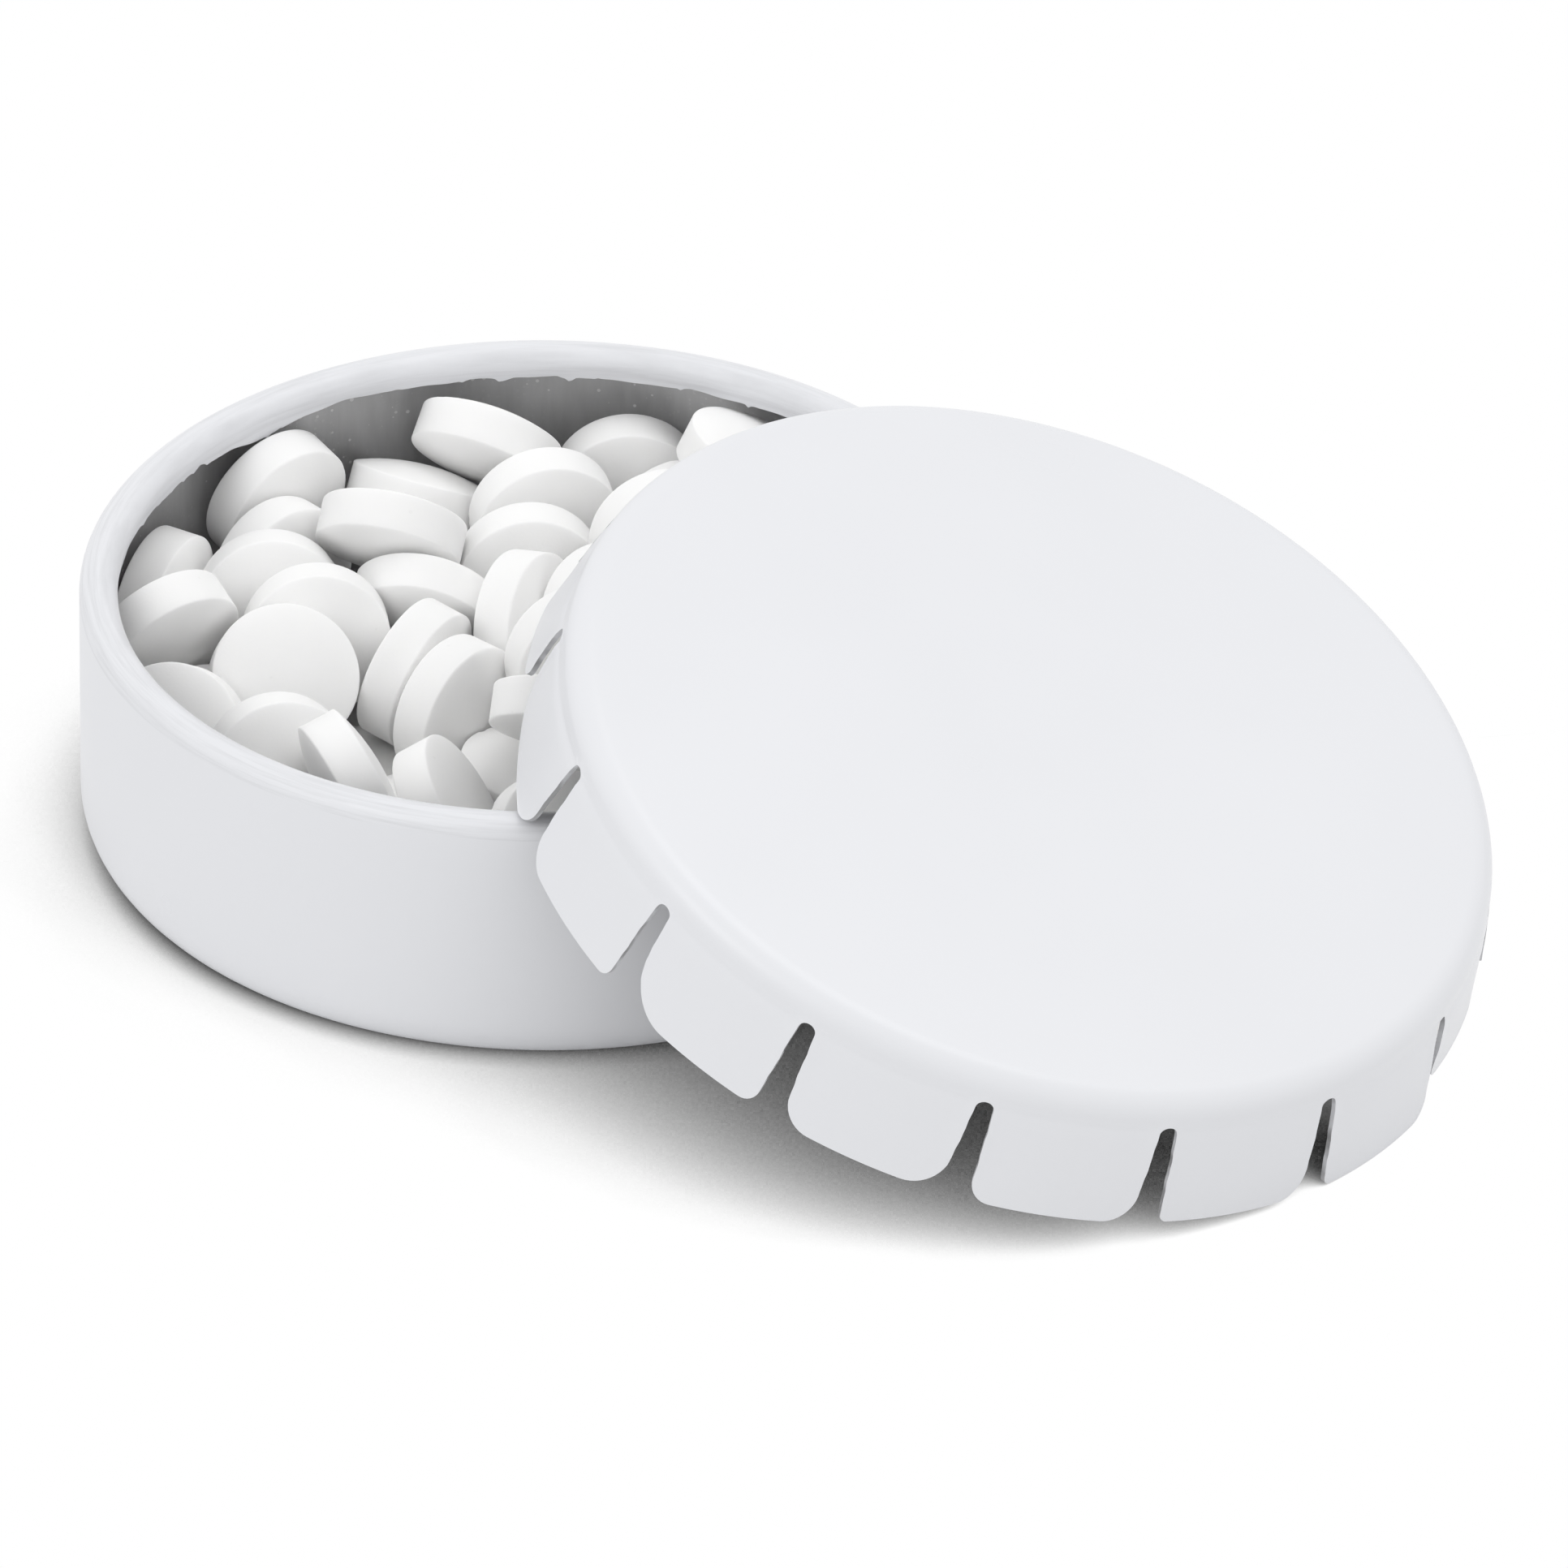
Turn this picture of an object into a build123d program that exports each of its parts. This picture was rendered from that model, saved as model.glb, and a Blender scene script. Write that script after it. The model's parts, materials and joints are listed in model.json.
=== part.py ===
from build123d import *
import math
import os

import numpy as np

# A round white tin for mints, with its lid lifted off and leaning on the rim.
# The origin is the middle of the tin's underside, on the table, with +Z up.
# The lid leans away along +X. All lengths are in millimetres and angles in degrees.

# The base: a drawn tinplate cup with its rim rolled inwards.
base_diameter = 45.0
base_height = 13.9
sheet = 0.25
base_corner_radius = 2.4
curl_diameter = 1.86

# The lid: one pressed disc with a crowned panel and a skirt cut into springy tabs.
lid_diameter = 46.3
lid_corner_radius = 1.3
lid_crown = 0.35
lid_depth = 6.7
tab_end_diameter = 48.9
tab_count = 16
tab_corner_radius = 1.3
slot_width = 0.9
slot_mouth_width = 1.35
slot_depth_below_panel = 1.5
slot_turn = 9.0

# Where the lid leans: its middle stands this far from the base's axis.
lid_distance = 28.7
lid_rest_gap = 0.05
steepest_lean = 80.0
lean_step = 0.001
skirt_ring_count = 9
skirt_turn_count = 720

# A mint: a pressed disc with a straight band and a low dome on each side.
mint_diameter = 7.2
mint_band = 1.9
mint_dome = 0.67
mint_gap = 0.04
ease_gap = 0.09
floor_mint_gap = 3.6
floor_ring_gap = 0.7

# How the heap settles. A mint is felt over in rings of points, given as shares of its
# radius, each with a count. It sinks by a share of the gap in the first rounds, and in
# every round takes a share of each push. One that isn't free is lifted by steps.
mint_ring_shares = [(1, 48), (0.8, 32), (0.45, 16), (0, 1)]
sink_round_count = 12
sink_share = 0.4
ease_round_count = 50
ease_share = 0.5
lift_steps = 8

# Overrun that every cut has past the metal.
overrun = 1.0

# Values that follow from the sizes above.
base_radius = base_diameter / 2
inside_radius = base_radius - sheet
inside_corner_radius = base_corner_radius - sheet
curl_radius = curl_diameter / 2
curl_ring_radius = base_radius - curl_radius
curl_height = base_height - curl_radius
mouth_radius = base_radius - curl_diameter
lid_radius = lid_diameter / 2
tab_end_radius = tab_end_diameter / 2
mint_radius = mint_diameter / 2
mint_thickness = mint_band + 2 * mint_dome
dome_radius = (mint_radius**2 + mint_dome**2) / (2 * mint_dome)
dome_centre = mint_thickness / 2 - dome_radius
mint_reach = math.hypot(mint_diameter, mint_thickness) + mint_gap

os.makedirs("parts", exist_ok=True)


# The base, drawn in one sheet: floor, corner, wall and the rim's half roll.
with BuildPart() as base:
    with BuildSketch(Plane.XZ):
        with BuildLine() as base_sheet:
            floor_line = Line((0, 0), (base_radius - base_corner_radius, 0))
            TangentArc(
                floor_line @ 1,
                (base_radius, base_corner_radius),
                tangent=floor_line % 1,
            )
            wall_line = Line((base_radius, base_corner_radius), (base_radius, curl_height))
            TangentArc(
                wall_line @ 1,
                (base_radius - curl_diameter, curl_height),
                tangent=wall_line % 1,
            )
            offset(base_sheet.line, amount=sheet, side=Side.LEFT)
        make_face()
    revolve(axis=Axis.Z)


# The lid's sheet, drawn with its panel's edge at height zero.
with BuildPart() as flat_lid:
    with BuildSketch(Plane.XZ):
        with BuildLine() as lid_sheet:
            panel_edge = lid_radius - lid_corner_radius
            panel_arc = TangentArc((0, lid_crown), (panel_edge, 0), tangent=(1, 0))
            shoulder_arc = TangentArc(
                panel_arc @ 1, (lid_radius, -lid_corner_radius), tangent=(1, 0)
            )
            Line(shoulder_arc @ 1, (tab_end_radius, -lid_depth))
            offset(lid_sheet.line, amount=sheet, side=Side.RIGHT)
        make_face()
    revolve(axis=Axis.Z)


# One slot of the skirt: a round top, sides that spread, and the tabs' round corners.
slot_top = -slot_depth_below_panel
slot_round_centre = slot_top - slot_width / 2
corner_start = -lid_depth + tab_corner_radius
with BuildPart() as slot_cut:
    with BuildSketch(Plane.YZ.offset(lid_radius - overrun)):
        with BuildLine():
            slot_round = TangentArc(
                (0, slot_top), (slot_width / 2, slot_round_centre), tangent=(1, 0)
            )
            slot_side = Line(slot_round @ 1, (slot_mouth_width / 2, corner_start))
            slot_corner = TangentArc(
                slot_side @ 1,
                (slot_mouth_width / 2 + tab_corner_radius, -lid_depth),
                tangent=(0, -1),
            )
            slot_foot = Line(slot_corner @ 1, slot_corner @ 1 - Vector(0, overrun))
            Line(slot_foot @ 1, (0, -lid_depth - overrun))
            mirror(about=Plane.YZ)
        make_face()
    extrude(amount=tab_end_radius - lid_radius + 2 * overrun)


def tin_gap(points):
    """Least distance from some points to the base's metal, below zero inside it."""
    reach = np.hypot(points[:, 0], points[:, 1])
    height = points[:, 2]
    wall_middle = base_radius - sheet / 2
    wall = np.abs(reach - wall_middle) - sheet / 2
    wall = np.where(height < curl_height, wall, base_radius)
    curl = np.hypot(reach - curl_ring_radius, height - curl_height) - curl_radius
    floor = np.where(reach < wall_middle, height - sheet, base_radius)
    corner_ring = inside_radius - inside_corner_radius
    corner_height = base_corner_radius
    in_corner = (reach > corner_ring) & (reach < wall_middle) & (height < corner_height)
    corner = inside_corner_radius - np.hypot(reach - corner_ring, height - corner_height)
    corner = np.where(in_corner, corner, base_radius)
    return min(wall.min(), curl.min(), floor.min(), corner.min())


def leaning_lid(lean):
    """The lid's plane at this lean, with its lowest tab end on the table."""
    sine = math.sin(math.radians(lean))
    cosine = math.cos(math.radians(lean))
    flare = math.atan2(tab_end_radius - lid_radius, lid_depth - lid_corner_radius)
    inner_radius = tab_end_radius - sheet * math.cos(flare)
    inner_depth = lid_depth + sheet * math.sin(flare)
    height = max(
        lid_depth * cosine + tab_end_radius * sine,
        inner_depth * cosine + inner_radius * sine,
    )
    return Plane(
        origin=(lid_distance, 0, height), x_dir=(cosine, 0, -sine), z_dir=(sine, 0, cosine)
    )


def skirt_points(plane):
    """Points over the skirt's outer and inner faces, from shoulder to tab ends."""
    turns = np.linspace(0, 2 * math.pi, skirt_turn_count)
    origin = np.array(tuple(plane.origin))
    x_dir = np.array(tuple(plane.x_dir))
    y_dir = np.array(tuple(plane.y_dir))
    z_dir = np.array(tuple(plane.z_dir))
    rings = []
    for share in np.linspace(0, 1, skirt_ring_count):
        depth = lid_corner_radius + share * (lid_depth - lid_corner_radius)
        radius = lid_radius + share * (tab_end_radius - lid_radius)
        for inset in (0, sheet):
            across = np.outer(np.cos(turns), x_dir) + np.outer(np.sin(turns), y_dir)
            rings.append(origin + (radius - inset) * across - depth * z_dir)
    return np.concatenate(rings)


# The lid leans as low as the base's rim lets it.
low_lean = 0
high_lean = steepest_lean
while high_lean - low_lean > lean_step:
    middle_lean = (low_lean + high_lean) / 2
    if tin_gap(skirt_points(leaning_lid(middle_lean))) < lid_rest_gap:
        low_lean = middle_lean
    else:
        high_lean = middle_lean
lid_plane = leaning_lid(high_lean)
lid_points = skirt_points(lid_plane)

with BuildPart(lid_plane) as lid:
    add(flat_lid.part)
    with PolarLocations(0, tab_count, start_angle=slot_turn):
        add(slot_cut.part, mode=Mode.SUBTRACT)


# One mint at the origin, its flat side's axis along Z.
with BuildPart() as mint:
    with BuildSketch(Plane.XZ):
        with BuildLine():
            top_dome = TangentArc(
                (0, mint_thickness / 2), (mint_radius, mint_band / 2), tangent=(1, 0)
            )
            band_line = Line(top_dome @ 1, (mint_radius, -mint_band / 2))
            low_dome = TangentArc(
                (0, -mint_thickness / 2), (mint_radius, -mint_band / 2), tangent=(1, 0)
            )
            Line((0, -mint_thickness / 2), (0, mint_thickness / 2))
        make_face()
    revolve(axis=Axis.Z)


def mint_axis(lean, turn):
    """Unit vector of a mint's axis that leans from upright towards this turn."""
    lean = math.radians(lean)
    turn = math.radians(turn)
    across = math.sin(lean)
    return np.array([across * math.cos(turn), across * math.sin(turn), math.cos(lean)])


# Points all over a mint at the origin, in rings: its two domes, edges and band.
flat_rings = []
for radius_share, count in mint_ring_shares:
    radius = radius_share * mint_radius
    height = dome_centre + math.sqrt(dome_radius**2 - radius**2)
    turns = np.linspace(0, 2 * math.pi, count, endpoint=False)
    flat_ring = np.stack([radius * np.cos(turns), radius * np.sin(turns), 0 * turns], axis=1)
    flat_rings.append(flat_ring + np.array([0, 0, height]))
    flat_rings.append(flat_ring - np.array([0, 0, height]))
    if radius_share == 1:
        flat_rings.append(flat_ring)
flat_points = np.concatenate(flat_rings)


def mint_points(axis):
    """Points all over a mint at the origin whose axis points this way."""
    side = np.cross(axis, np.eye(3)[np.abs(axis).argmin()])
    side /= np.linalg.norm(side)
    front = np.cross(axis, side)
    return flat_points @ np.array([side, front, axis])


def deepest(away, axes):
    """For each mint, how deep the deepest of its points lies, that point and the way out.

    The points are given from each mint's centre. A gap below zero lies inside the mint.
    """
    axes = axes[:, None, :]
    along = (away * axes).sum(axis=-1, keepdims=True)
    ways = [away - dome_centre * axes, away + dome_centre * axes, away - along * axes]
    ways = np.stack(ways)
    reaches = np.linalg.norm(ways, axis=-1)
    gaps = reaches - np.array([dome_radius, dome_radius, mint_radius])[:, None, None]
    faces = gaps.argmax(axis=0)
    gaps = gaps.max(axis=0)
    deep = gaps.argmin(axis=1)
    each = np.arange(len(deep))
    faces = faces[each, deep]
    out = ways[faces, each, deep] / reaches[faces, each, deep][:, None]
    return gaps[each, deep], away[each, deep], out


def pushes(index, centres, axes, shapes):
    """Every push on one mint: how far, from where on it and which way."""
    centre = centres[index]
    found = []
    apart = np.linalg.norm(centres - centre, axis=1)
    near = [other for other in np.flatnonzero(apart < mint_reach) if other != index]
    if near:
        offsets = centres[near] - centre
        own_axis = np.repeat(axes[[index]], len(near), axis=0)
        own = deepest(shapes[index] - offsets[:, None], axes[near])
        theirs = deepest(shapes[near] + offsets[:, None], own_axis)
        for place, other in enumerate(near):
            share = 1 if other < floor_count else ease_share
            if own[0][place] < theirs[0][place]:
                gap, point, way = own[0][place], own[1][place] + offsets[place], own[2][place]
            else:
                gap, point, way = theirs[0][place], theirs[1][place], -theirs[2][place]
            found.append((share * (ease_gap - gap), point, way))
    points = shapes[index] + centre
    reach = np.hypot(points[:, 0], points[:, 1])
    below_curl = points[:, 2] < curl_height - curl_radius - ease_gap
    over = reach - np.where(below_curl, inside_radius, mouth_radius)
    outer = over.argmax()
    inwards = -points[outer] / reach[outer] * np.array([1, 1, 0])
    found.append((over[outer] + ease_gap, shapes[index][outer], inwards))
    lowest = points[:, 2].argmin()
    upwards = np.array([0, 0, 1])
    found.append((sheet + ease_gap - points[lowest, 2], shapes[index][lowest], upwards))
    return [push for push in found if push[0] > 0]


def eased(centres, axes, sink):
    """One round in which every loose mint sinks and is pushed off what it touches."""
    shapes = np.array([mint_points(axis) for axis in axes])
    new_centres = centres.copy()
    new_axes = axes.copy()
    for index in range(floor_count, len(centres)):
        shift = np.array([0, 0, -sink])
        spin = np.zeros(3)
        for far, point, way in pushes(index, centres, axes, shapes):
            shift = shift + ease_share * far * way
            spin = spin + ease_share * far * np.cross(point, way) / mint_radius**2
        new_centres[index] += shift
        new_axes[index] += np.cross(spin, axes[index])
        new_axes[index] /= np.linalg.norm(new_axes[index])
    return new_centres, new_axes


def settle(centre, axis, heap):
    """Adds a mint to the heap. One that isn't free yet is lifted, or moved off the lid."""
    centre = centre.copy()
    points = mint_points(axis)
    step = mint_thickness / lift_steps
    blocked = True
    while blocked:
        least = tin_gap(points + centre)
        for other_centre, other_axis in heap:
            if np.linalg.norm(other_centre - centre) < mint_reach:
                away = other_centre - centre
                other_points = mint_points(other_axis) + away
                least = min(least, deepest((points - away)[None], other_axis[None])[0][0])
                least = min(least, deepest(other_points[None], axis[None])[0][0])
        near_lid = deepest((lid_points - centre)[None], axis[None])[0][0] < mint_gap
        blocked = near_lid or least < mint_gap
        if near_lid:
            centre[0] -= step
        elif blocked:
            centre[2] += step
    heap.append((centre, axis))


# The mints on the floor lie flat, in rings from the wall inwards.
floor_places = [(0, 0)]
ring_radius = mouth_radius - ease_gap - mint_radius
while ring_radius > mint_radius:
    ring_count = int(2 * math.pi * ring_radius / (mint_diameter + floor_mint_gap))
    for index in range(ring_count):
        turn = 2 * math.pi * index / ring_count
        floor_places.append((ring_radius * math.cos(turn), ring_radius * math.sin(turn)))
    ring_radius -= mint_diameter + floor_ring_gap
floor_count = len(floor_places)
floor_height = sheet + ease_gap + mint_thickness / 2
centres = [(x, y, floor_height) for x, y in floor_places]
axes = [mint_axis(0, 0)] * floor_count

# The heap on top of them. Each row gives a mint's place as shares of the mouth's radius,
# its height as a share of the base's height, how far its axis leans from upright, and
# towards where.
heap_places_shares = [
    (-0.10, -0.50, 0.25, 25, -155),
    (0.45, -0.25, 0.30, 45, -85),
    (0.85, -0.35, 0.30, 70, -150),
    (0.45, 0.75, 0.30, 5, 105),
    (0.65, 0.20, 0.30, 25, 95),
    (-0.10, 0.60, 0.30, 5, -180),
    (0.40, 0.30, 0.30, 70, 150),
    (-0.65, -0.45, 0.30, 30, -30),
    (-0.60, 0.45, 0.30, 25, 75),
    (0.10, -0.20, 0.35, 10, 50),
    (0.80, 0.45, 0.40, 45, 10),
    (0.25, 0.50, 0.40, 45, 35),
    (-0.25, -0.80, 0.40, 75, -50),
    (-0.20, 0.85, 0.45, 85, 140),
    (-0.15, -0.15, 0.45, 90, 175),
    (-0.60, -0.65, 0.50, 55, -70),
    (-0.85, 0.10, 0.50, 85, -20),
    (-1.00, -0.20, 0.50, 85, -170),
    (0.65, -0.65, 0.50, 50, 30),
    (-0.45, 0.15, 0.50, 60, 115),
    (-0.30, -0.10, 0.50, 75, -175),
    (-0.35, 0.40, 0.50, 90, -50),
    (-0.40, 0.90, 0.50, 85, 135),
    (0.10, -0.55, 0.50, 55, 35),
    (-0.30, -0.65, 0.50, 75, -40),
    (0.40, -0.50, 0.50, 50, -20),
    (-0.75, -0.10, 0.55, 75, -50),
    (-0.75, 0.50, 0.55, 30, 95),
    (-0.20, 0.20, 0.55, 80, 10),
    (-0.55, -0.15, 0.55, 80, -50),
    (-0.50, -0.35, 0.55, 50, -45),
    (-0.40, 0.55, 0.60, 85, 140),
    (-0.80, -0.40, 0.60, 65, 160),
    (0.00, 0.30, 0.60, 65, -20),
    (-0.95, 0.25, 0.60, 75, 165),
    (-0.05, -0.70, 0.65, 70, 60),
    (0.05, 0.05, 0.65, 90, -35),
    (-0.05, 0.55, 0.70, 90, 140),
    (0.20, -0.20, 0.70, 45, 115),
    (-0.65, 0.65, 0.70, 50, 100),
    (-0.60, 0.20, 0.70, 50, 110),
    (-0.05, 0.90, 0.75, 25, 55),
]
for x_share, y_share, height_share, lean, turn in heap_places_shares:
    centres.append((x_share * mouth_radius, y_share * mouth_radius, height_share * base_height))
    axes.append(mint_axis(lean, turn))

# The mints settle together, then each is felt over once more from the lowest up.
centres = np.array(centres)
axes = np.array(axes)
for ease_round in range(sink_round_count + ease_round_count):
    sink = mint_gap * sink_share if ease_round < sink_round_count else 0
    centres, axes = eased(centres, axes, sink)
heap = []
for centre, axis in zip(centres, axes):
    settle(centre, axis, heap)

with BuildPart() as floor_mints:
    with Locations(*[Plane(origin=tuple(place)).location for place, _ in heap[:floor_count]]):
        add(mint.part)

heap_mints = []
for centre, axis in heap[floor_count:]:
    with BuildPart(Plane(origin=tuple(centre), z_dir=tuple(axis))) as heap_mint:
        add(mint.part)
    heap_mint.part.label = f"mint_{len(heap_mints) + 1:02d}"
    heap_mints.append(heap_mint)


base.part.label = "base"
lid.part.label = "lid"
floor_mints.part.label = "floor_mints"
export_step(base.part, "parts/base.step")
export_step(lid.part, "parts/lid.step")
export_step(floor_mints.part, "parts/floor_mints.step")
for heap_mint in heap_mints:
    export_step(heap_mint.part, f"parts/{heap_mint.part.label}.step")
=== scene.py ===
import json
import math
import random

import bmesh
import bpy
import numpy as np
from bpy.props import FloatProperty, FloatVectorProperty, IntProperty, PointerProperty
from mathutils import Matrix, Vector


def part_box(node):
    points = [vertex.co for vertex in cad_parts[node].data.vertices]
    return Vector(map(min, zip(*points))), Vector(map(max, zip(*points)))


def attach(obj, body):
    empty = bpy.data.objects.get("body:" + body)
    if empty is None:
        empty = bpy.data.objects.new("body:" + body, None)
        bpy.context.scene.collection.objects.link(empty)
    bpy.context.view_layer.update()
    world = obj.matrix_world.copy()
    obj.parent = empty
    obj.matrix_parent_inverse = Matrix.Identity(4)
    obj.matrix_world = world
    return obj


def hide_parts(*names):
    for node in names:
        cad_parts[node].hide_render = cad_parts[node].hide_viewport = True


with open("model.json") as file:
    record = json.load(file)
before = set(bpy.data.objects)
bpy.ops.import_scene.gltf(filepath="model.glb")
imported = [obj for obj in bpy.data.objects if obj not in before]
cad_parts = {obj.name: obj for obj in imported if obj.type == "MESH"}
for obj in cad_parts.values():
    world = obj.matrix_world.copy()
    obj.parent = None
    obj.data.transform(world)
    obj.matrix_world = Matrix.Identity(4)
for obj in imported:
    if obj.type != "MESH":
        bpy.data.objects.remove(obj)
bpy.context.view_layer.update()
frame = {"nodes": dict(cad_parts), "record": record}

bl_info = {
    "name": "Mint Tin",
    "version": (1, 0, 0),
    "blender": (4, 5, 0),
    "location": "3D View > Sidebar > Mint Tin",
    "description": "Dresses a round white tin of mints whose slotted lid leans on its rim",
    "category": "Object",
}

MM = 0.001
base_low, base_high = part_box("base")
BASE_RADIUS = (base_high.x - base_low.x) / 2
BASE_HEIGHT = base_high.z


class TinSheetSizes(bpy.types.PropertyGroup):
    """Sizes of the drawn base, its rolled rim and the sheet that both metal pieces share."""

    sheet: FloatProperty(
        name="Sheet", description="Thickness of the tinplate", default=0.25 * MM, unit="LENGTH"
    )
    corner: FloatProperty(
        name="Bottom Corner",
        description="Radius between wall and floor",
        default=2.4 * MM,
        unit="LENGTH",
    )
    roll: FloatProperty(
        name="Rim Roll",
        description="Outer diameter of the rolled rim",
        default=1.86 * MM,
        unit="LENGTH",
    )
    roll_turn: FloatProperty(
        name="Rim Turn",
        description="How far the rim rolls round before its lip hangs straight",
        default=math.radians(187),
        subtype="ANGLE",
    )
    rim_gap: FloatProperty(
        name="Rim Gap",
        description="How far the roll stays clear of the lid's edge on it",
        default=0.1 * MM,
        unit="LENGTH",
    )
    lip: FloatProperty(
        name="Lip",
        description="Usual length of the lip below the roll",
        default=0.38 * MM,
        unit="LENGTH",
    )
    lip_wave: FloatProperty(
        name="Lip Wave",
        description="How much longer the lip is where it waves",
        default=0.42 * MM,
        unit="LENGTH",
    )
    tooth: FloatProperty(
        name="Lip Tooth",
        description="Longest ragged tooth of the lip's edge",
        default=0.28 * MM,
        unit="LENGTH",
    )
    edge_round: FloatProperty(
        name="Edge Rounding",
        description="Rounding of the cut edges",
        default=0.04 * MM,
        unit="LENGTH",
    )
    segments: IntProperty(
        name="Segments", description="Steps around the base", default=720, min=64
    )


class LidSizes(bpy.types.PropertyGroup):
    """Sizes of the pressed lid and of its tabs."""

    radius: FloatProperty(
        name="Shoulder Radius",
        description="Radius of the lid below its shoulder",
        default=23.15 * MM,
        unit="LENGTH",
    )
    corner: FloatProperty(
        name="Shoulder", description="Radius of the shoulder", default=1.3 * MM, unit="LENGTH"
    )
    crown: FloatProperty(
        name="Crown", description="Rise of the panel's middle", default=0.35 * MM, unit="LENGTH"
    )
    depth: FloatProperty(
        name="Depth",
        description="Height from the panel's edge to the tab ends",
        default=6.7 * MM,
        unit="LENGTH",
    )
    end_radius: FloatProperty(
        name="Tab End Radius",
        description="Radius of the flared tab ends",
        default=24.45 * MM,
        unit="LENGTH",
    )
    tabs: IntProperty(name="Tabs", description="How many tabs the skirt has", default=16, min=4)
    tab_corner: FloatProperty(
        name="Tab Corner",
        description="Radius of the tabs' lower corners",
        default=1.3 * MM,
        unit="LENGTH",
    )
    slot: FloatProperty(
        name="Slot Width",
        description="Width of a slot at its round top",
        default=0.9 * MM,
        unit="LENGTH",
    )
    slot_mouth: FloatProperty(
        name="Slot Mouth",
        description="Width of a slot above the tab corners",
        default=1.35 * MM,
        unit="LENGTH",
    )
    slot_drop: FloatProperty(
        name="Slot Drop",
        description="Depth of the slot tops below the panel",
        default=1.5 * MM,
        unit="LENGTH",
    )
    slot_turn: FloatProperty(
        name="Slot Turn",
        description="Turn of the first slot from the lid's low side",
        default=math.radians(9),
        subtype="ANGLE",
    )
    burr: FloatProperty(
        name="Burr",
        description="Waviness of the sheared slot edges",
        default=0.035 * MM,
        unit="LENGTH",
    )
    bend: FloatProperty(
        name="Tab Bend",
        description="How far the most bent tab's end lies inwards",
        default=0.75 * MM,
        unit="LENGTH",
    )
    bend_rise: FloatProperty(
        name="Bend Rise",
        description="Share of its bend by which a bent tab's end rises",
        default=0.6,
    )
    groove: FloatProperty(
        name="Groove",
        description="Depth of the faint groove under the shoulder",
        default=0.05 * MM,
        unit="LENGTH",
    )
    groove_reach: FloatProperty(
        name="Groove Reach",
        description="Half height of that groove",
        default=0.28 * MM,
        unit="LENGTH",
    )
    lift: FloatProperty(
        name="Slot Lift",
        description="How far the metal stands up round a slot",
        default=0.05 * MM,
        unit="LENGTH",
    )
    lift_reach: FloatProperty(
        name="Slot Lift Reach",
        description="How far from a slot the metal stands up",
        default=0.35 * MM,
        unit="LENGTH",
    )


class MintSizes(bpy.types.PropertyGroup):
    """Sizes of a pressed mint."""

    radius: FloatProperty(
        name="Radius", description="Radius of a mint", default=3.6 * MM, unit="LENGTH"
    )
    band: FloatProperty(
        name="Band",
        description="Height of a mint's straight side",
        default=1.9 * MM,
        unit="LENGTH",
    )
    dome: FloatProperty(
        name="Dome", description="Rise of the dome on each face", default=0.67 * MM, unit="LENGTH"
    )
    edge: FloatProperty(
        name="Edge", description="Rounding between dome and side", default=0.1 * MM, unit="LENGTH"
    )
    chip: FloatProperty(
        name="Chip",
        description="Radius of the largest chips in the edges",
        default=0.7 * MM,
        unit="LENGTH",
    )
    segments: IntProperty(name="Segments", description="Steps around a mint", default=72, min=16)


class FinishColours(bpy.types.PropertyGroup):
    """Colours of the finishes."""

    lacquer: FloatVectorProperty(
        name="Lacquer",
        description="White lacquer outside",
        subtype="COLOR",
        default=(0.795, 0.803, 0.83),
    )
    tinplate: FloatVectorProperty(
        name="Tinplate",
        description="Bare metal inside",
        subtype="COLOR",
        default=(0.56, 0.56, 0.565),
    )
    cut_metal: FloatVectorProperty(
        name="Cut Metal",
        description="Sheared edges of the sheet",
        subtype="COLOR",
        default=(0.45, 0.45, 0.46),
    )
    mint: FloatVectorProperty(
        name="Mint", description="Pressed sugar", subtype="COLOR", default=(0.985, 0.983, 0.978)
    )
    floor: FloatVectorProperty(
        name="Floor", description="White table", subtype="COLOR", default=(0.85, 0.85, 0.85)
    )


class StageSettings(bpy.types.PropertyGroup):
    """Camera and light."""

    distance: FloatProperty(
        name="Camera Distance",
        description="From the tin to the camera",
        default=1.0,
        unit="LENGTH",
    )
    azimuth: FloatProperty(
        name="Azimuth",
        description="Direction of the camera",
        default=math.radians(35.4),
        subtype="ANGLE",
    )
    elevation: FloatProperty(
        name="Elevation",
        description="Height of the camera",
        default=math.radians(32.487),
        subtype="ANGLE",
    )
    roll: FloatProperty(
        name="Roll",
        description="Turn of the camera about its view",
        default=0.014,
        subtype="ANGLE",
    )
    target: FloatVectorProperty(
        name="Target",
        description="Point in the middle of the picture",
        subtype="TRANSLATION",
        default=(9.468 * MM, 6.728 * MM, 1.932 * MM),
    )
    lens: FloatProperty(name="Lens", description="Focal length in millimetres", default=472.73)
    sky: FloatProperty(name="Sky", description="Strength of the even light", default=0.85)
    key: FloatProperty(name="Key", description="Power of the soft lamp overhead", default=0.75)
    fill: FloatProperty(name="Fill", description="Power of the soft lamp on the left", default=0.7)
    # These settings shape the table's painted shadow, which no lamp casts: the light named in them
    # is only a leaning direction about which the open sky is measured.
    painted_shadow_lean: FloatProperty(
        name="Shade Lean",
        description="How far the light that draws the table's shade leans from overhead",
        default=math.radians(32),
        subtype="ANGLE",
    )
    painted_shadow_turn: FloatProperty(
        name="Shade Turn",
        description="Where that light stands, from the right of the picture towards its back",
        default=math.radians(-12),
        subtype="ANGLE",
    )
    painted_shadow_reach: FloatProperty(
        name="Shade Reach",
        description="How far away a piece still shades the table",
        default=0.1,
        unit="LENGTH",
    )
    painted_shadow_black: FloatProperty(
        name="Shade Black",
        description="Open share of the sky where the table turns black",
        default=0.13,
    )
    painted_shadow_white: FloatProperty(
        name="Shade White",
        description="Open share of the sky where the table turns white",
        default=0.5,
    )


# Mesh helpers

BEVEL_STEPS = 2
SHARP_ANGLE = math.radians(50)
SAME_POINT = 0.001 * MM


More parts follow.
